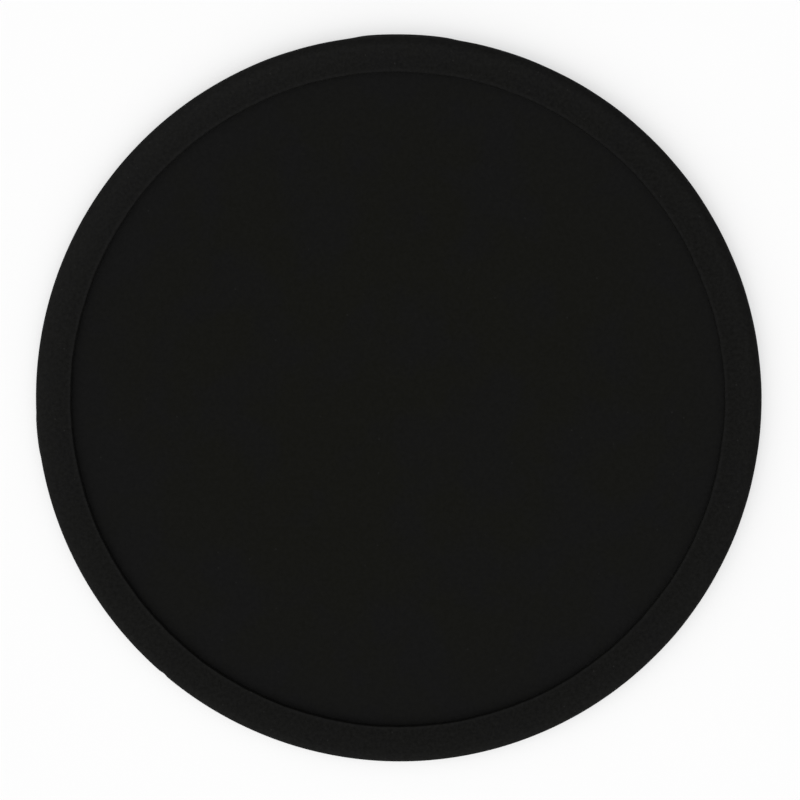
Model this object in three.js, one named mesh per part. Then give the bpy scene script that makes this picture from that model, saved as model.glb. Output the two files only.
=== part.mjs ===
// Round silicone drink coaster: a flat disc with a low raised rim.
// The rim keeps the glass in place and holds the water that runs off it.
// Millimetres, +Z up. The origin is the centre of the underside.

import * as THREE from 'three';

// Plan of the coaster
const OUTER_DIAMETER = 100;
const RIM_WIDTH = 5.1;           // at the foot of the recess wall

// Section of the coaster
const FLOOR_THICKNESS = 2.1;     // underside to the floor that the glass stands on
const RECESS_DEPTH = 0.9;        // floor to the top of the rim
const WALL_DRAFT_DEGREES = 10;   // lean of the recess wall, which widens upwards

// Rounded edges
const TOP_EDGE_RADIUS = 1.4;     // outside, at the top of the rim
const BOTTOM_EDGE_RADIUS = 0.4;  // outside, at the underside
const RECESS_EDGE_RADIUS = 0.2;  // where the rim's top turns down into the recess
const MOST_ROUNDING = 0.8;       // largest share of its wall that a rounded edge takes

// Seat of the rim on the base, level with the mould's parting line
const SEAT_DEPTH = 1;            // from the floor down to the ledge that carries the rim
const SEAT_CLEARANCE = 0.1;      // radial gap between the rim and the raised floor

// Fineness of the turned surfaces
const TURN_FACETS = 96;
const ARC_DIVISIONS = 2;         // a rounded edge has twice this many flats

// Sizes that follow from the ones above
const outerRadius = OUTER_DIAMETER / 2;
const recessRadius = outerRadius - RIM_WIDTH;
const floorRadius = recessRadius - SEAT_CLEARANCE;
const seatHeight = FLOOR_THICKNESS - SEAT_DEPTH;
const rimTop = FLOOR_THICKNESS + RECESS_DEPTH;
const wallDraft = THREE.MathUtils.degToRad(WALL_DRAFT_DEGREES);
const bottomEdge = Math.min(BOTTOM_EDGE_RADIUS, MOST_ROUNDING * seatHeight);
const topEdge = Math.min(TOP_EDGE_RADIUS, MOST_ROUNDING * (rimTop - seatHeight));
const recessEdge = Math.min(RECESS_EDGE_RADIUS, MOST_ROUNDING * RECESS_DEPTH);

// Turns a closed half section (x is the radius, y the height) about the Z axis.
function turn(section) {
  const geometry = new THREE.LatheGeometry(section.getPoints(ARC_DIVISIONS), TURN_FACETS);
  return geometry.rotateX(Math.PI / 2);
}

// Lower disc with the raised floor in its middle and the rim's ledge round it.
function baseDisc() {
  const section = new THREE.Path();
  section.moveTo(0, 0);
  section.lineTo(outerRadius - bottomEdge, 0);
  section.absarc(outerRadius - bottomEdge, bottomEdge, bottomEdge, -Math.PI / 2, 0, false);
  section.lineTo(outerRadius, seatHeight);
  section.lineTo(floorRadius, seatHeight);
  section.lineTo(floorRadius, FLOOR_THICKNESS);
  section.lineTo(0, FLOOR_THICKNESS);
  return turn(section);
}

// Ring that sits on the ledge and stands above the floor.
// The small arc at the top of its inside touches both the flat top and the leaning wall.
function rimRing() {
  const wallRise = RECESS_DEPTH - recessEdge;
  const recessEdgeCentre = recessRadius + wallRise * Math.tan(wallDraft) + recessEdge / Math.cos(wallDraft);
  const section = new THREE.Path();
  section.moveTo(recessRadius, seatHeight);
  section.lineTo(outerRadius, seatHeight);
  section.absarc(outerRadius - topEdge, rimTop - topEdge, topEdge, 0, Math.PI / 2, false);
  section.absarc(recessEdgeCentre, rimTop - recessEdge, recessEdge, Math.PI / 2, Math.PI - wallDraft, false);
  section.lineTo(recessRadius, FLOOR_THICKNESS);
  section.lineTo(recessRadius, seatHeight);
  return turn(section);
}

// Black silicone rubber: the floor is a little darker and smoother than the rim.
const floorSilicone = new THREE.MeshStandardMaterial({ color: 0x161614, roughness: 0.8, metalness: 0 });
const rimSilicone = new THREE.MeshStandardMaterial({ color: 0x191918, roughness: 0.85, metalness: 0 });

function subPart(name, geometry, material) {
  const mesh = new THREE.Mesh(geometry, material);
  mesh.name = name;
  return mesh;
}

const coaster = new THREE.Group();
coaster.name = 'coaster';
coaster.add(subPart('base_disc', baseDisc(), floorSilicone));
coaster.add(subPart('rim_ring', rimRing(), rimSilicone));

export default coaster;
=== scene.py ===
"""Looks of a round black silicone drink coaster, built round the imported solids.

Lengths are metres, +Z is up and the origin is the centre of the underside, as in the frame.
Sizes that a maker would give in millimetres are written as a number times MM.
"""

import logging
import math
from collections.abc import Callable
from dataclasses import dataclass
from enum import Enum
from functools import partial
from typing import Any

import bpy
import numpy as np
from mathutils import Matrix, Vector


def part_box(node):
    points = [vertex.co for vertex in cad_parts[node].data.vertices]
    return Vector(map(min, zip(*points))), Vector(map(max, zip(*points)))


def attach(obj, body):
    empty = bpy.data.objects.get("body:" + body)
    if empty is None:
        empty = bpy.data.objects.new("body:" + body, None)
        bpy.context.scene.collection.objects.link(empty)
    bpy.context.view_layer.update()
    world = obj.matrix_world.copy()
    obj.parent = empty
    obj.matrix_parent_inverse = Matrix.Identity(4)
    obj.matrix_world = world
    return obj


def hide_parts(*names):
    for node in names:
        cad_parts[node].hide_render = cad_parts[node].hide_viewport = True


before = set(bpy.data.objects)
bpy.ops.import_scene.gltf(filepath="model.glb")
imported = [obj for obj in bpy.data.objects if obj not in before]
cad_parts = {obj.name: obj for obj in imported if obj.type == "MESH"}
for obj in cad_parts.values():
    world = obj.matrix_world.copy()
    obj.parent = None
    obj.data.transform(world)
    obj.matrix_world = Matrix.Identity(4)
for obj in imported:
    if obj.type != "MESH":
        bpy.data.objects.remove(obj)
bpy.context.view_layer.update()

LOG = logging.getLogger("coaster")
MM = 0.001
BODY = "root"

# Attribute, 0 to 1, of how far the rubber is paled: dust on the floor; on the rim painted glare, a
# painted highlight and a paler side
DUST_AND_PAINTED_LIGHT = "dust_and_painted_light"

# Fineness of the turned surfaces: steps round the axis, and along each stretch of a section
TURN_STEPS = 720
LONG_STEPS = 24
SHORT_STEPS = 14
ARC_STEPS = 16
HIDDEN_STEPS = 2

# Most that the mould's usual ridge of flash stands out, and most that a stretch adds to it
RIDGE_PROUD = 0.06 * MM
STRETCH_PROUD = 0.14 * MM

# Points nearer to each other than this are one point
SAME_POINT = 1e-6 * MM

# Faces that meet at more than this angle keep a sharp edge
SHARP_ANGLE = math.radians(35)

# Sockets of a Mix node, whose names repeat: its share, its two ends and its result
SHARE = 0
COLOUR_A, COLOUR_B, COLOUR_RESULT = 6, 7, 2
NUMBER_A, NUMBER_B, NUMBER_RESULT = 2, 3, 0

# An output of a node, and a function that adds a node to one tree
Output = tuple[bpy.types.Node, str | int]
NodeAdder = Callable[..., bpy.types.Node]


class Node(Enum):
    """Solids of the coaster in the frame."""

    BASE = "base_disc"
    RIM = "rim_ring"


class Slot(Enum):
    """Material slots of the record."""

    FLOOR = "floor_silicone"
    RIM = "rim_silicone"


class Spacing(Enum):
    """How the points of a straight stretch are spread."""

    EVEN = "even"
    CLOSE_AT_ENDS = "close at both ends"


def linear(hex_colour: str) -> tuple[float, float, float, float]:
    """Turns an sRGB hex colour into linear light.

    Args:
        hex_colour: six hex digits after a hash sign.

    Returns:
        Red, green, blue and an alpha of 1.
    """
    srgb = [int(hex_colour[i : i + 2], 16) / 255 for i in (1, 3, 5)]
    red, green, blue = (c / 12.92 if c <= 0.04045 else ((c + 0.055) / 1.055) ** 2.4 for c in srgb)
    return red, green, blue, 1.0


def towards(azimuth: float, elevation: float) -> Vector:
    """Gives the unit vector that points to an azimuth from +X and an elevation, both in degrees."""
    turn, rise = math.radians(azimuth), math.radians(elevation)
    return Vector((math.cos(rise) * math.cos(turn), math.cos(rise) * math.sin(turn), math.sin(rise)))


def add_node(
    tree: bpy.types.NodeTree, kind: str, inputs: dict[str | int, Any] | None = None, **settings: Any
) -> bpy.types.Node:
    """Adds one node to a tree, sets it and links it.

    Args:
        tree: the tree that gets the node.
        kind: Blender's name for the kind of node.
        inputs: socket name, or number where names repeat, to a value or to a (node, output) pair
            that is linked to it.
        **settings: the node's own attributes.

    Returns:
        The new node.
    """
    node = tree.nodes.new(kind)
    for name, value in settings.items():
        setattr(node, name, value)
    for socket, value in (inputs or {}).items():
        if isinstance(value, tuple) and isinstance(value[0], bpy.types.Node):
            tree.links.new(value[0].outputs[value[1]], node.inputs[socket])
        else:
            node.inputs[socket].default_value = value
    return node


class Section:
    """Half section of a turned piece, as points of radius and height."""

    def __init__(self, radius: float, height: float) -> None:
        """Starts the section at one point."""
        self._runs = [np.array([[radius, height]])]

    def line(
        self, radius: float, height: float, steps: int, spacing: Spacing = Spacing.EVEN
    ) -> "Section":
        """Goes straight to a point.

        Args:
            radius: where the stretch ends, from the axis.
            height: where the stretch ends, above the underside.
            steps: number of pieces in the stretch.
            spacing: how its points are spread.

        Returns:
            The section itself.
        """
        share = np.arange(1, steps + 1) / steps
        if spacing is Spacing.CLOSE_AT_ENDS:
            share = (1 - np.cos(math.pi * share)) / 2
        start = self._runs[-1][-1]
        end = np.array([radius, height])
        self._runs.append(start + share[:, None] * (end - start))
        return self

    def arc(self, centre: tuple[float, float], radius: float, start: float, end: float) -> "Section":
        """Goes round a circle: centre plus radius times (cosine, sine) of an angle that grows evenly.

        Args:
            centre: radius and height of the circle's centre.
            radius: the circle's own radius.
            start: first angle, in radians from the outward direction.
            end: last angle.

        Returns:
            The section itself.
        """
        angle = np.linspace(start, end, ARC_STEPS + 1)
        self._runs.append(np.array(centre) + radius * np.stack([np.cos(angle), np.sin(angle)], 1))
        return self

    def points(self) -> np.ndarray:
        """Joins the runs and drops points that repeat the one before.

        Returns:
            Radius and height of each point, as an (n, 2) array.
        """
        joined = np.concatenate(self._runs)
        step = np.linalg.norm(np.diff(joined, axis=0), axis=1)
        return joined[np.concatenate([[True], step > SAME_POINT])]


@dataclass(frozen=True)
class CoasterSizes:
    """Sizes that both pieces share.

    Attributes:
        outer_radius: half of the solids' width.
        seat_height: height of the ledge that carries the rim.
        floor_height: height of the floor that the glass stands on.
        rim_top: height of the rim's flat top.
        flash_room: most that the mould's flash stands out from the side.
        rim_width: from the side to the foot of the recess wall.
        wall_draft: lean of the recess wall, which widens upwards.
    """

    outer_radius: float
    seat_height: float
    floor_height: float
    rim_top: float
    flash_room: float = RIDGE_PROUD + STRETCH_PROUD
    rim_width: float = 5.1 * MM
    wall_draft: float = math.radians(10)

    @classmethod
    def from_frame(cls) -> "CoasterSizes":
        """Reads the outer radius and the heights from the solids' boxes.

        Returns:
            The sizes.
        """
        _, base_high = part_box(Node.BASE.value)
        rim_low, rim_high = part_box(Node.RIM.value)
        return cls(rim_high.x, rim_low.z, base_high.z, rim_high.z)

    @property
    def side_radius(self) -> float:
        """Radius of the upright side, which leaves room for the flash that stands out from it."""
        return self.outer_radius - self.flash_room

    @property
    def recess_radius(self) -> float:
        """Radius of the recess at the floor."""
        return self.side_radius - self.rim_width

    def wall_radius(self, height: float) -> float:
        """Radius of the leaning recess wall at a height."""
        return self.recess_radius + (height - self.floor_height) * math.tan(self.wall_draft)


@dataclass(frozen=True)
class RingWaves:
    """Gentle waves round the axis, each with its number of turns, its size and where it starts."""

    turns: tuple[int, ...]
    sizes: tuple[float, ...]
    starts: tuple[float, ...]

    def at(self, angles: np.ndarray) -> np.ndarray:
        """Adds up the waves: each size times the sine of its turns times the angle plus its start."""
        return np.sin(np.outer(angles, self.turns) + np.array(self.starts)) @ np.array(self.sizes)


@dataclass(frozen=True)
class FlashStretch:
    """Stretch of the edge where more of the mould's flash was left on.

    Attributes:
        start: angle round the axis at which it starts.
        end: angle at which it ends.
        proud: how far it stands out past the usual ridge.
        fade: angle over which it starts and ends.
    """

    start: float
    end: float
    proud: float = STRETCH_PROUD
    fade: float = math.radians(1.0)

    def at(self, angles: np.ndarray) -> np.ndarray:
        """Works out how far the stretch stands out past the usual ridge.

        It rises at its start and falls at its end, each along a hyperbolic tangent of the angle.

        Args:
            angles: angles round the axis.

        Returns:
            Radial offsets, one for each angle.
        """
        rise = np.tanh((angles - self.start) / self.fade)
        fall = np.tanh((angles - self.end) / self.fade)
        return self.proud * (rise - fall) / 2


@dataclass(frozen=True)
class MouldFlash:
    """Thin ridge of flash that the mould's parting line leaves round the outer side.

    Attributes:
        radius: radius of the side.
        height: height of the parting line.
        proud: most that the usual ridge stands out.
        half_width: half of the ridge's width.
        usual_share: usual share of that most.
        waves: how the share varies round the edge.
        stretches: where more of it was left on.
    """

    radius: float
    height: float
    proud: float = RIDGE_PROUD
    half_width: float = 0.09 * MM
    usual_share: float = 0.55
    waves: RingWaves = RingWaves(turns=(7, 19, 43), sizes=(0.2, 0.15, 0.1), starts=(0.4, 2.1, 0.0))
    stretches: tuple[FlashStretch, ...] = (
        FlashStretch(math.radians(81.2), math.radians(96.2)),
        FlashStretch(math.radians(182.2), math.radians(189.3)),
    )

    def offset(self, section: np.ndarray, angles: np.ndarray) -> np.ndarray:
        """Works out how far the flash stands out from the side.

        A bell curve over the height, on points of the side alone, times an amount round the edge: the
        ridge's usual share with its waves, plus the stretches.

        Args:
            section: radius and height of each point.
            angles: angles round the axis.

        Returns:
            Radial offsets, one row for each point of the section.
        """
        on_side = section[:, 0] > self.radius - self.proud
        bell = on_side * np.exp(-(((section[:, 1] - self.height) / self.half_width) ** 2))
        ridge = self.proud * (self.usual_share + self.waves.at(angles))
        return np.outer(bell, ridge + sum(stretch.at(angles) for stretch in self.stretches))


@dataclass(frozen=True)
class EdgeNick:
    """Small nick in the outer side, where a bit of rubber came off with the flash.

    Attributes:
        radius: radius of the side.
        height: height of its deepest place.
        angle: where it lies, round the axis.
        depth: how far it cuts in.
        half_length: half of its length along the edge.
        half_height: half of its height.
        edge_width: how far in from the side the rounded edges give way with it.
        reach: how far close-set steps go to each side of it, in its half lengths.
        steps: number of those steps.
    """

    radius: float
    height: float
    angle: float = math.radians(229.7)
    depth: float = 0.2 * MM
    half_length: float = 0.42 * MM
    half_height: float = 0.6 * MM
    edge_width: float = 1 * MM
    reach: float = 3.0
    steps: int = 30

    def close_angles(self) -> np.ndarray:
        """Gives close-set angles across the nick."""
        spread = np.linspace(-self.reach, self.reach, self.steps + 1)
        return self.angle + spread * self.half_length / self.radius

    def offset(self, section: np.ndarray, angles: np.ndarray) -> np.ndarray:
        """Works out how far the nick cuts into the side.

        A bell curve over the height, on points of the side and its rounded edges alone, times a bell
        curve along the edge.

        Args:
            section: radius and height of each point.
            angles: angles round the axis.

        Returns:
            Radial offsets, one row for each point of the section.
        """
        on_side = section[:, 0] > self.radius - self.edge_width
        upright = on_side * np.exp(-(((section[:, 1] - self.height) / self.half_height) ** 2))
        along = np.exp(-(((angles - self.angle) * self.radius / self.half_length) ** 2))
        return -self.depth * np.outer(upright, along)


@dataclass(frozen=True)
class RecessWander:
    """Slight unevenness of the recess wall, which copies a hand-finished edge of the mould.

    Attributes:
        radius: radius of the recess at the floor.
        lowest: height under which nothing strays.
        reach: how far from the wall the surfaces stray with it.
        waves: how far they stray, round the edge.
    """

    radius: float
    lowest: float
    reach: float = 0.6 * MM
    waves: RingWaves = RingWaves(
        turns=(11, 23, 47, 89),
        sizes=(0.022 * MM, 0.02 * MM, 0.012 * MM, 0.014 * MM),
        starts=(0.3, 1.9, 4.0, 2.7),
    )

    def offset(self, section: np.ndarray, angles: np.ndarray) -> np.ndarray:
        """Works out how far the wall strays from a true circle.

        The waves round the axis, times a flat-topped bell over the distance from the wall.

        Args:
            section: radius and height of each point.
            angles: angles round the axis.

        Returns:
            Radial offsets, one row for each point of the section.
        """
        near = np.exp(-(((section[:, 0] - self.radius) / self.reach) ** 4))
        return np.outer(near * (section[:, 1] > self.lowest), self.waves.at(angles))


@dataclass(frozen=True)
class MouldMarks:
    """What the mould leaves on the turned shapes."""

    flash: MouldFlash
    nick: EdgeNick
    wander: RecessWander

    def turn(self, name: str, section: np.ndarray) -> bpy.types.Mesh:
        """Turns a section about the axis and puts the marks on it.

        Args:
            name: name of the mesh.
            section: radius and height of each point.

        Returns:
            The closed mesh.
        """
        even = np.linspace(0, 2 * math.pi, TURN_STEPS, endpoint=False)
        angles = np.unique(np.concatenate([even, self.nick.close_angles()]))
        offset = sum(mark.offset(section, angles) for mark in (self.flash, self.nick, self.wander))
        return turned_mesh(name, section, offset, angles)


def turned_mesh(
    name: str, section: np.ndarray, offset: np.ndarray, angles: np.ndarray
) -> bpy.types.Mesh:
    """Carries a section round the Z axis: x = r cos t, y = r sin t, with r the radius plus an offset.

    A section that starts and ends on the axis closes there in two poles. Any other closes on itself.

    Args:
        name: name of the mesh.
        section: radius and height of each point, anticlockwise, so that the faces point out.
        offset: radial offset of each point at each angle.
        angles: angles of the steps round the axis, without a last one that repeats the first.

    Returns:
        The closed mesh.
    """
    poles = section[0, 0] < SAME_POINT
    rings = slice(1, -1) if poles else slice(0, -1)
    radius = section[rings, 0][:, None] + offset[rings]
    height = np.broadcast_to(section[rings, 1][:, None], radius.shape)
    vertices = np.stack([radius * np.cos(angles), radius * np.sin(angles), height], -1).reshape(-1, 3)
    rows, columns = radius.shape
    index = np.arange(rows * columns).reshape(rows, columns)
    upper = np.roll(index, -1, axis=0)
    quads = np.stack([index, np.roll(index, -1, axis=1), np.roll(upper, -1, axis=1), upper], -1)
    faces = (quads[:-1] if poles else quads).reshape(-1, 4).tolist()
    if poles:
        ends = np.array([[0.0, 0.0, section[0, 1]], [0.0, 0.0, section[-1, 1]]])
        first, last = np.full(columns, len(vertices)), np.full(columns, len(vertices) + 1)
        vertices = np.concatenate([vertices, ends])
        faces += np.stack([first, np.roll(index[0], -1), index[0]], -1).tolist()
        faces += np.stack([last, index[-1], np.roll(index[-1], -1)], -1).tolist()
    mesh = bpy.data.meshes.new(name)
    mesh.from_pydata(vertices.tolist(), [], faces)
    mesh.shade_smooth()
    mesh.set_sharp_from_angle(angle=SHARP_ANGLE)
    mesh.update()
    return mesh


def paint_dust_and_light(mesh: bpy.types.Mesh, dust_and_painted_light: Callable[[np.ndarray, np.ndarray], np.ndarray]) -> None:
    """Writes how far each vertex is paled, by dust and painted light, into the mesh's attribute for it.

    Args:
        mesh: the mesh that gets the attribute.
        dust_and_painted_light: gives the paling by dust and painted light, from 0 to 1, at distances
            from the axis and angles round it.
    """
    place = np.empty(3 * len(mesh.vertices))
    mesh.vertices.foreach_get("co", place)
    x, y, _ = place.reshape(-1, 3).T
    attribute = mesh.attributes.new(DUST_AND_PAINTED_LIGHT, "FLOAT", "POINT")
    attribute.data.foreach_set("value", dust_and_painted_light(np.hypot(x, y), np.arctan2(y, x)))


@dataclass(frozen=True)
class SiliconeFinish:
    """Black silicone rubber, compression moulded in a spark-eroded mould.

    The mould leaves an even, very fine grain, so the rubber is matt and nearly without highlights.
    Carbon black makes it almost colourless, in clouds of a warmer and a neutral black. Lint, which the
    rubber holds, dust and, on the rim, painted glare, a painted highlight and a paler side pale it.

    Attributes:
        name: name of the material.
        warm: black of the clean rubber.
        cool: neutral black in its clouds and under the haze.
        grain_share: how far the tops of the grain go towards the pale colour.
        grain_depth: height of the grain.
        dust_and_light_share: how far the dust and painted light go towards the pale colour.
        dust_and_light_cool: how far the dust and painted light go towards the neutral black.
        roughness: least and most roughness, which follow the clouds.
        lint_spacing: size of the cells that hold one bit of lint at most.
        dust_and_light_colour: pale colour of the grain's tops, the lint, the dust and the painted
            light.
        cloud_size: size of the clouds.
        cloud_share: how far a cloud goes towards the neutral black.
        cloud_band: noise at which a cloud starts and is full.
        polish_band: noise at which the roughness is least and most.
        grain_size: size of the grain as drawn.
        grain_band: noise at which the tops of the grain start and are full.
        grain_harshness: how strong the finer octaves of the grain are.
        noise_detail: number of octaves of both noises.
        lint_radius: radius of a bit of lint.
        lint_share: how far a bit of lint goes towards the bloom's colour.
        lint_thinning: share of the cells that hold no lint.
        ior: refractive index of silicone rubber.
        specular: gloss that the grain leaves, where 0.5 is the full gloss of that index.
    """

    name: str
    warm: str
    cool: str
    grain_share: float
    grain_depth: float
    dust_and_light_share: float
    dust_and_light_cool: float
    roughness: tuple[float, float]
    lint_spacing: float
    dust_and_light_colour: str = "#2a2a29"
    cloud_size: float = 9 * MM
    cloud_share: float = 0.75
    cloud_band: tuple[float, float] = (0.47, 0.62)
    polish_band: tuple[float, float] = (0.3, 0.7)
    grain_size: float = 0.5 * MM
    grain_band: tuple[float, float] = (0.35, 0.75)
    grain_harshness: float = 0.7
    noise_detail: float = 4.0
    lint_radius: float = 0.13 * MM
    lint_share: float = 0.45
    lint_thinning: float = 0.6
    ior: float = 1.41
    specular: float = 0.025

    def material(self) -> bpy.types.Material:
        """Builds the material on Object coordinates and the attribute of dust and painted light.

        Returns:
            The material.
        """
        material = bpy.data.materials.new(self.name)
        material.use_nodes = True
        material.node_tree.nodes.clear()
        node = partial(add_node, material.node_tree)
        place = (node("ShaderNodeTexCoord"), "Object")
        # Paling by dust on the floor, and on the rim by painted glare, a painted highlight and a paler
        # side
        dust_and_painted_light = (node("ShaderNodeAttribute", attribute_name=DUST_AND_PAINTED_LIGHT), "Fac")
        wide = {"Vector": place, "Scale": 1 / self.cloud_size, "Detail": self.noise_detail}
        clouds = (node("ShaderNodeTexNoise", wide), "Fac")
        # The real grain is finer than a pixel, so it is drawn several times coarser to show.
        fine = {"Vector": place, "Scale": 1 / self.grain_size, "Detail": self.noise_detail}
        grain = (node("ShaderNodeTexNoise", fine | {"Roughness": self.grain_harshness}), "Fac")
        pale = self.paling(node, place, dust_and_painted_light, grain)
        black = self.black(node, dust_and_painted_light, clouds)
        ends = {COLOUR_A: black, COLOUR_B: linear(self.dust_and_light_colour)}
        colour = node("ShaderNodeMix", {SHARE: pale} | ends, data_type="RGBA")
        low, high = self.polish_band
        smooth, rough = self.roughness
        polish = node(
            "ShaderNodeMapRange",
            {"Value": clouds, "From Min": low, "From Max": high, "To Min": smooth, "To Max": rough},
        )
        relief = {"Height": grain, "Distance": self.grain_depth, "Strength": 1.0}
        bump = node("ShaderNodeBump", relief)
        rubber = node(
            "ShaderNodeBsdfPrincipled",
            {
                "Base Color": (colour, COLOUR_RESULT),
                "Roughness": (polish, "Result"),
                "Normal": (bump, "Normal"),
                "IOR": self.ior,
                "Specular IOR Level": self.specular,
            },
        )
        node("ShaderNodeOutputMaterial", {"Surface": (rubber, "BSDF")})
        return material

    def black(self, node: NodeAdder, dust_and_painted_light: Output, clouds: Output) -> Output:
        """Mixes the warm and the neutral black by the clouds, with more of the neutral under the dust
        and painted light.

        Args:
            node: adds a node to the material.
            dust_and_painted_light: the dust, and on the rim the painted light.
            clouds: noise of the clouds.

        Returns:
            The clean rubber's colour.
        """
        low, high = self.cloud_band
        patches = node(
            "ShaderNodeMapRange",
            {"Value": clouds, "From Min": low, "From Max": high, "To Max": self.cloud_share},
        )
        share = node(
            "ShaderNodeMath",
            {0: dust_and_painted_light, 1: self.dust_and_light_cool, 2: (patches, "Result")},
            operation="MULTIPLY_ADD",
        )
        ends = {COLOUR_A: linear(self.warm), COLOUR_B: linear(self.cool)}
        mix = node("ShaderNodeMix", {SHARE: (share, "Value")} | ends, data_type="RGBA")
        return mix, COLOUR_RESULT

    def paling(self, node: NodeAdder, place: Output, dust_and_painted_light: Output, grain: Output) -> Output:
        """Adds up what pales the rubber: the grain's tops, the dust and painted light, and the lint.

        Lint is a dot round the middle of some of the cells of a Voronoi pattern.

        Args:
            node: adds a node to the material.
            place: Object coordinates.
            dust_and_painted_light: the dust, and on the rim the painted light.
            grain: noise of the grain.

        Returns:
            The share of the pale colour.
        """
        low, high = self.grain_band
        tops = node(
            "ShaderNodeMapRange",
            {"Value": grain, "From Min": low, "From Max": high, "To Max": self.grain_share},
        )
        pale_share = node(
            "ShaderNodeMath",
            {0: dust_and_painted_light, 1: self.dust_and_light_share, 2: (tops, "Result")},
            operation="MULTIPLY_ADD",
        )
        cell = node("ShaderNodeTexVoronoi", {"Vector": place, "Scale": 1 / self.lint_spacing})
        edge = self.lint_radius / self.lint_spacing
        fade = {"From Min": edge, "From Max": edge / 2, "To Max": self.lint_share}
        dot = node("ShaderNodeMapRange", {"Value": (cell, "Distance")} | fade)
        draw = (node("ShaderNodeSeparateColor", {"Color": (cell, "Color")}), "Red")
        kept = node("ShaderNodeMath", {0: draw, 1: self.lint_thinning}, operation="GREATER_THAN")
        total = {0: (dot, "Result"), 1: (kept, "Value"), 2: (pale_share, "Value")}
        return node("ShaderNodeMath", total, operation="MULTIPLY_ADD"), "Value"


@dataclass(frozen=True)
class BaseDisc:
    """Lower disc: underside, lower side, ledge under the rim, and the floor with its fillet.

    Attributes:
        sizes: sizes that both pieces share.
        marks: what the mould leaves.
        finish: finish of the disc.
        bottom_edge_radius: rounding at the underside.
        foot_fillet: hollow rounding at the foot of the recess wall.
        seam: room between the disc and the rim.
        haze_power: how steeply the dust grows towards the wall.
    """

    sizes: CoasterSizes
    marks: MouldMarks
    finish: SiliconeFinish
    bottom_edge_radius: float = 0.4 * MM
    foot_fillet: float = 0.05 * MM
    seam: float = 0.01 * MM
    haze_power: int = 5

    def section(self) -> np.ndarray:
        """Draws the half section, anticlockwise from the middle of the underside.

        Returns:
            Radius and height of each point.
        """
        sizes, edge, fillet = self.sizes, self.bottom_edge_radius, self.foot_fillet
        side, floor, draft = sizes.side_radius, sizes.floor_height, sizes.wall_draft
        neck, seat = sizes.recess_radius - self.seam, sizes.seat_height - self.seam
        fillet_middle = neck + fillet * (math.tan(draft) - 1 / math.cos(draft))
        tip_radius = fillet_middle + fillet * math.cos(draft)
        tip_height = floor + fillet * (1 - math.sin(draft))
        section = Section(0, 0)
        section.line(side - edge, 0, LONG_STEPS, Spacing.CLOSE_AT_ENDS)
        section.arc((side - edge, edge), edge, -math.pi / 2, 0)
        section.line(side, seat, SHORT_STEPS, Spacing.CLOSE_AT_ENDS)
        section.line(neck, seat, HIDDEN_STEPS)
        section.line(neck, floor, HIDDEN_STEPS)
        section.line(tip_radius, tip_height, HIDDEN_STEPS)
        section.arc((fillet_middle, floor + fillet), fillet, -draft, -math.pi / 2)
        section.line(0, floor, LONG_STEPS, Spacing.CLOSE_AT_ENDS)
        return section.points()

    def dust_and_painted_light(self, radius: np.ndarray, _angle: np.ndarray) -> np.ndarray:
        """Dust gathers towards the wall, alike all round: a power of the share of the way to it."""
        return np.minimum(radius / self.sizes.recess_radius, 1) ** self.haze_power

    def build(self) -> bpy.types.Mesh:
        """Turns the section."""
        return self.marks.turn("base", self.section())

    def dress(self, mesh: bpy.types.Mesh) -> None:
        """Gives the mesh its haze and its finish."""
        paint_dust_and_light(mesh, self.dust_and_painted_light)
        mesh.materials.append(self.finish.material())


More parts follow.
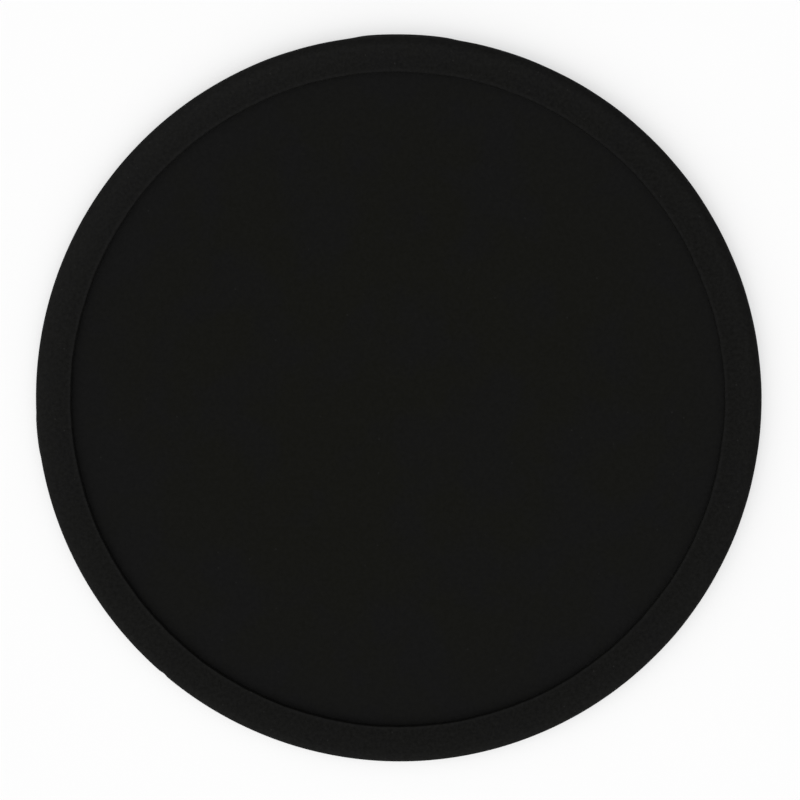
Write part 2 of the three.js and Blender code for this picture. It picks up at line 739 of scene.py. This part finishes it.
@dataclass(frozen=True)
class RimRing:
    """Raised ring: upper side, rounded outer edge, flat top, rounded recess edge and leaning wall.

    Attributes:
        sizes: sizes that both pieces share.
        marks: what the mould leaves.
        finish: finish of the ring.
        top_edge_radius: rounding outside, at the top.
        recess_edge_radius: rounding where the top turns down into the recess.
        paler_side: angle round the axis of the side that is paler.
        haze_power: how closely the paling keeps to that side.
        glare_share: share of the paling that is alike all round: painted glare, growing towards the
            outer edge.
        edge_highlight: strength of the painted highlight along the rounded edge of the recess.
        edge_highlight_width: half of the painted highlight's width.
        edge_highlight_width: half of the worn edge's width.
    """

    sizes: CoasterSizes
    marks: MouldMarks
    finish: SiliconeFinish
    top_edge_radius: float = 1.4 * MM
    recess_edge_radius: float = 0.1 * MM
    paler_side: float = math.radians(132)
    haze_power: int = 3
    glare_share: float = 0.4
    edge_highlight: float = 0.6
    edge_highlight_width: float = 0.2 * MM

    def section(self) -> np.ndarray:
        """Draws the half section, anticlockwise from the inner corner of the seat.

        Returns:
            Radius and height of each point, the first repeated at the end.
        """
        sizes, edge, corner = self.sizes, self.top_edge_radius, self.recess_edge_radius
        side, inside, draft = sizes.side_radius, sizes.recess_radius, sizes.wall_draft
        seat, floor, top = sizes.seat_height, sizes.floor_height, sizes.rim_top
        corner_middle = sizes.wall_radius(top - corner) + corner / math.cos(draft)
        section = Section(inside, seat)
        section.line(side, seat, HIDDEN_STEPS)
        section.line(side, top - edge, SHORT_STEPS, Spacing.CLOSE_AT_ENDS)
        section.arc((side - edge, top - edge), edge, 0, math.pi / 2)
        section.line(corner_middle, top, SHORT_STEPS, Spacing.CLOSE_AT_ENDS)
        section.arc((corner_middle, top - corner), corner, math.pi / 2, math.pi - draft)
        section.line(inside, floor, SHORT_STEPS, Spacing.CLOSE_AT_ENDS)
        section.line(inside, seat, HIDDEN_STEPS)
        return section.points()

    def dust_and_painted_light(self, radius: np.ndarray, angle: np.ndarray) -> np.ndarray:
        """Works out how pale the rim is: painted glare outwards, a paler side and a painted edge
        highlight.

        A smooth step over the width of the rim for the painted glare, plus a lobe round one side that
        starts at half its strength, plus a bell curve along the edge of the recess for the painted
        highlight.

        Args:
            radius: distances from the axis.
            angle: angles round the axis.

        Returns:
            The paling from 0 to 1.
        """
        # Painted glare: a step that grows towards the outer edge, alike all round
        share = np.clip((radius - self.sizes.recess_radius) / self.sizes.rim_width, 0, 1)
        step = share**2 * (3 - 2 * share)
        # Paler on one side
        lobe = ((1 + np.cos(angle - self.paler_side)) / 2) ** self.haze_power
        pale_share = self.glare_share * step + (1 - self.glare_share) * lobe * (1 + step) / 2
        # Painted highlight along the rounded edge where the top turns down into the recess
        edge = self.sizes.wall_radius(self.sizes.rim_top) + self.recess_edge_radius
        from_edge = radius - edge - self.edge_highlight_width / 2
        return pale_share + self.edge_highlight * np.exp(-((from_edge / self.edge_highlight_width) ** 2))

    def build(self) -> bpy.types.Mesh:
        """Turns the section."""
        return self.marks.turn("rim", self.section())

    def dress(self, mesh: bpy.types.Mesh) -> None:
        """Gives the mesh its haze and its finish."""
        paint_dust_and_light(mesh, self.dust_and_painted_light)
        mesh.materials.append(self.finish.material())


def carry(mesh: bpy.types.Mesh, node: Node) -> None:
    """Puts a dressed mesh into the scene in place of its solid.

    Args:
        mesh: the finished mesh.
        node: the solid that it stands for.
    """
    piece = bpy.data.objects.new(f"coaster_{mesh.name}", mesh)
    bpy.context.scene.collection.objects.link(piece)
    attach(piece, BODY)
    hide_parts(node.value)
    LOG.info("%s: %d faces in place of %s", piece.name, len(mesh.polygons), node.value)


@dataclass(frozen=True)
class Softbox:
    """Square soft box that faces the middle of the coaster.

    Attributes:
        name: name of the lamp.
        azimuth: where it stands, in degrees from +X.
        elevation: how high it stands, in degrees.
        watts: its power.
        distance: from the middle of the underside.
        side: side of the square.
    """

    name: str
    azimuth: float
    elevation: float
    watts: float
    distance: float = 5.0
    side: float = 3.7

    def light(self) -> None:
        """Puts the lamp into the scene."""
        data = bpy.data.lights.new(self.name, "AREA")
        data.shape = "SQUARE"
        data.size = self.side
        data.energy = self.watts
        lamp = bpy.data.objects.new(self.name, data)
        aim = towards(self.azimuth, self.elevation)
        turn = aim.to_track_quat("Z", "Y").to_matrix().to_4x4()
        lamp.matrix_world = Matrix.Translation(aim * self.distance) @ turn
        bpy.context.scene.collection.objects.link(lamp)


@dataclass(frozen=True)
class LightTent:
    """White tent round the table, brighter on one side and with white walls near the table.

    Attributes:
        azimuth: brightest side, in degrees from +X.
        elevation: height of the brightest place, in degrees.
        strength: brightness there.
        narrowing: power that narrows the bright side.
        wall_height: sines of the elevations at which the walls start to fade and are gone.
        below: brightness from under the table.
    """

    azimuth: float
    elevation: float
    strength: float
    narrowing: float
    wall_height: tuple[float, float] = (0.25, 0.5)
    below: float = 0.8

    def set_up(self) -> None:
        """Makes the tent the scene's world.

        Its brightness is its strength times a power of (1 + c) / 2, with c the cosine of the angle from
        its brightest side. Cameras and clear things see plain white, and reflections see white walls
        round the table. What comes from below only reaches the underside.
        """
        world = bpy.data.worlds.new("light_tent")
        world.use_nodes = True
        world.node_tree.nodes.clear()
        node = partial(add_node, world.node_tree)
        way = (node("ShaderNodeTexCoord"), "Generated")
        brightest = towards(self.azimuth, self.elevation)
        cosine = node("ShaderNodeVectorMath", {0: way, 1: brightest}, operation="DOT_PRODUCT")
        halved = {0: (cosine, "Value"), 1: 0.5, 2: 0.5}
        share = (node("ShaderNodeMath", halved, operation="MULTIPLY_ADD"), "Value")
        slope = (node("ShaderNodeMath", {0: share, 1: self.narrowing}, operation="POWER"), "Value")
        above = (node("ShaderNodeMath", {0: slope, 1: self.strength}, operation="MULTIPLY"), "Value")
        height = (node("ShaderNodeSeparateXYZ", {"Vector": way}), "Z")
        under = (node("ShaderNodeMath", {0: height, 1: 0.0}, operation="LESS_THAN"), "Value")
        halves = {SHARE: under, NUMBER_A: above, NUMBER_B: self.below}
        tent = (node("ShaderNodeMix", halves, data_type="FLOAT"), NUMBER_RESULT)
        low, high = self.wall_height
        fade = {"Value": height, "From Min": high, "From Max": low}
        walls = (node("ShaderNodeMapRange", fade), "Result")
        rays = node("ShaderNodeLightPath")
        mirrored = node("ShaderNodeMath", {0: (rays, "Is Glossy Ray"), 1: walls}, operation="MULTIPLY")
        looked_at = node(
            "ShaderNodeMath",
            {0: (rays, "Is Camera Ray"), 1: (rays, "Is Transmission Ray")},
            operation="MAXIMUM",
        )
        white = node(
            "ShaderNodeMath", {0: (mirrored, "Value"), 1: (looked_at, "Value")}, operation="MAXIMUM"
        )
        seen = {SHARE: (white, "Value"), NUMBER_A: tent, NUMBER_B: 1.0}
        shown = (node("ShaderNodeMix", seen, data_type="FLOAT"), NUMBER_RESULT)
        sky = node("ShaderNodeBackground", {"Color": (1, 1, 1, 1), "Strength": shown})
        node("ShaderNodeOutputWorld", {"Surface": (sky, "Background")})
        bpy.context.scene.world = world


@dataclass(frozen=True)
class Table:
    """Matt white table top with a round opening under the coaster, which lets its underside be seen.

    Attributes:
        coaster_radius: radius of the coaster's side.
        lap: how far the table goes under the coaster's edge.
        radius: radius of the table.
        drop: how far the table lies under the coaster.
        colour: colour of the table.
        lift: share of plain white in what is seen of it, which thins shadows by that share.
        facets: number of facets round it.
    """

    coaster_radius: float
    lap: float = 0.5 * MM
    radius: float = 3.0
    drop: float = 0.01 * MM
    colour: str = "#fafafa"
    lift: float = 0.55
    facets: int = 128

    def build(self) -> None:
        """Makes the table: a flat ring of quads between two circles, just under the coaster."""
        angles = np.linspace(0, 2 * math.pi, self.facets, endpoint=False)
        circle = np.stack([np.cos(angles), np.sin(angles), np.zeros(self.facets)], 1)
        vertices = np.concatenate([(self.coaster_radius - self.lap) * circle, self.radius * circle])
        vertices[:, 2] = -self.drop
        inner = np.arange(self.facets)
        outer = inner + self.facets
        faces = np.stack([inner, outer, np.roll(outer, -1), np.roll(inner, -1)], 1)
        mesh = bpy.data.meshes.new("table")
        mesh.from_pydata(vertices.tolist(), [], faces.tolist())
        mesh.materials.append(self.material())
        table = bpy.data.objects.new("table", mesh)
        bpy.context.scene.collection.objects.link(table)

    def material(self) -> bpy.types.Material:
        """Builds a matt white that keeps shadows at part of their depth, and is clear from below.

        Returns:
            The material.
        """
        material = bpy.data.materials.new("matt_white_table")
        material.use_nodes = True
        material.node_tree.nodes.clear()
        node = partial(add_node, material.node_tree)
        rays = node("ShaderNodeLightPath")
        seen = node(
            "ShaderNodeMath",
            {0: (rays, "Is Camera Ray"), 1: (rays, "Is Glossy Ray")},
            operation="MAXIMUM",
        )
        shown = node(
            "ShaderNodeMath",
            {0: (seen, "Value"), 1: (rays, "Is Transmission Ray")},
            operation="MAXIMUM",
        )
        lift = node("ShaderNodeMath", {0: (shown, "Value"), 1: self.lift}, operation="MULTIPLY")
        matt = (node("ShaderNodeBsdfDiffuse", {"Color": linear(self.colour)}), "BSDF")
        white = (node("ShaderNodeEmission"), "Emission")
        top = (node("ShaderNodeMixShader", {0: (lift, "Value"), 1: matt, 2: white}), "Shader")
        clear = (node("ShaderNodeBsdfTransparent"), "BSDF")
        from_below = (node("ShaderNodeNewGeometry"), "Backfacing")
        surface = node("ShaderNodeMixShader", {0: from_below, 1: top, 2: clear})
        node("ShaderNodeOutputMaterial", {"Surface": (surface, "Shader")})
        return material


@dataclass(frozen=True)
class PhotoCamera:
    """Camera above the coaster that frames it as the photograph does.

    Attributes:
        outline_radius: radius of the coaster's outline.
        outline_height: height of the outline as seen from above.
        picture: width and height of the picture, in pixels.
        outline_pixels: radius of the outline in the picture.
        centre_pixel: where the outline's centre falls, from the upper left.
        distance: from the camera to that centre.
        lean: angle of the camera from straight above, in degrees.
        lean_azimuth: where it leans to, in degrees from +X.
        sensor: width of the sensor, in millimetres.
        clip: nearest and farthest that it sees.
    """

    outline_radius: float
    outline_height: float
    picture: int = 800
    outline_pixels: float = 363.53
    centre_pixel: tuple[float, float] = (396.68, 399.85)
    distance: float = 0.6
    lean: float = 4.8
    lean_azimuth: float = 37.0
    sensor: float = 36.0
    clip: tuple[float, float] = (0.01, 50.0)

    def place(self) -> None:
        """Makes the camera and makes it the scene's."""
        data = bpy.data.cameras.new("photo_camera")
        pixels_per_metre = self.outline_pixels / self.outline_radius
        data.sensor_width = self.sensor
        data.lens = self.sensor * pixels_per_metre * self.distance / self.picture
        data.clip_start, data.clip_end = self.clip
        camera = bpy.data.objects.new("photo_camera", data)
        back = towards(self.lean_azimuth, 90 - self.lean)
        right = Vector((0, 1, 0)).cross(back).normalized()
        up = back.cross(right)
        aside = (self.picture / 2 - self.centre_pixel[0]) / pixels_per_metre
        above = (self.centre_pixel[1] - self.picture / 2) / pixels_per_metre
        eye = Vector((0, 0, self.outline_height)) + back * self.distance + right * aside + up * above
        camera.matrix_world = Matrix.Translation(eye) @ Matrix((right, up, back)).transposed().to_4x4()
        bpy.context.scene.collection.objects.link(camera)
        bpy.context.scene.camera = camera


# The floor copies a smoother part of the mould: an even matt black, warmer in the middle.
FLOOR_FINISH = SiliconeFinish(
    name="black_silicone_floor",
    warm="#12120f",
    cool="#121212",
    grain_share=0.12,
    grain_depth=0.006 * MM,
    dust_and_light_share=0.005,
    dust_and_light_cool=0.85,
    roughness=(0.64, 0.68),
    lint_spacing=2 * MM,
)

# The rim has a coarser grain that shows as a fine mottle, more lint, and more paling for painted glare,
# a painted highlight and a paler side.
RIM_FINISH = SiliconeFinish(
    name="black_silicone_rim",
    warm="#10100f",
    cool="#101010",
    grain_share=0.26,
    grain_depth=0.01 * MM,
    # Strength of the paling, here mostly painted glare, a painted highlight and a paler side
    dust_and_light_share=0.17,
    dust_and_light_cool=0.6,
    roughness=(0.66, 0.78),
    lint_spacing=1.3 * MM,
)

TENT = LightTent(azimuth=-115, elevation=60, strength=1.54, narrowing=2.5)
SOFTBOXES = (
    Softbox("front_softbox", azimuth=-90, elevation=35, watts=35),
    Softbox("left_softbox", azimuth=180, elevation=35, watts=15),
)


def main() -> None:
    """Builds the pieces, the studio and the camera, in that order."""
    logging.basicConfig(level=logging.INFO, format="%(name)s: %(message)s")
    bpy.context.scene.view_settings.view_transform = "Standard"
    sizes = CoasterSizes.from_frame()
    flash = MouldFlash(sizes.side_radius, sizes.seat_height)
    nick = EdgeNick(sizes.side_radius, sizes.rim_top / 2)
    marks = MouldMarks(flash, nick, RecessWander(sizes.recess_radius, sizes.seat_height / 2))
    base, rim = BaseDisc(sizes, marks, FLOOR_FINISH), RimRing(sizes, marks, RIM_FINISH)
    for piece, node, slot in ((base, Node.BASE, Slot.FLOOR), (rim, Node.RIM, Slot.RIM)):
        mesh = piece.build()
        piece.dress(mesh)
        carry(mesh, node)
    Table(sizes.side_radius).build()
    TENT.set_up()
    for softbox in SOFTBOXES:
        softbox.light()
    PhotoCamera(sizes.side_radius, sizes.rim_top - rim.top_edge_radius).place()


if __name__ == "__main__":
    main()
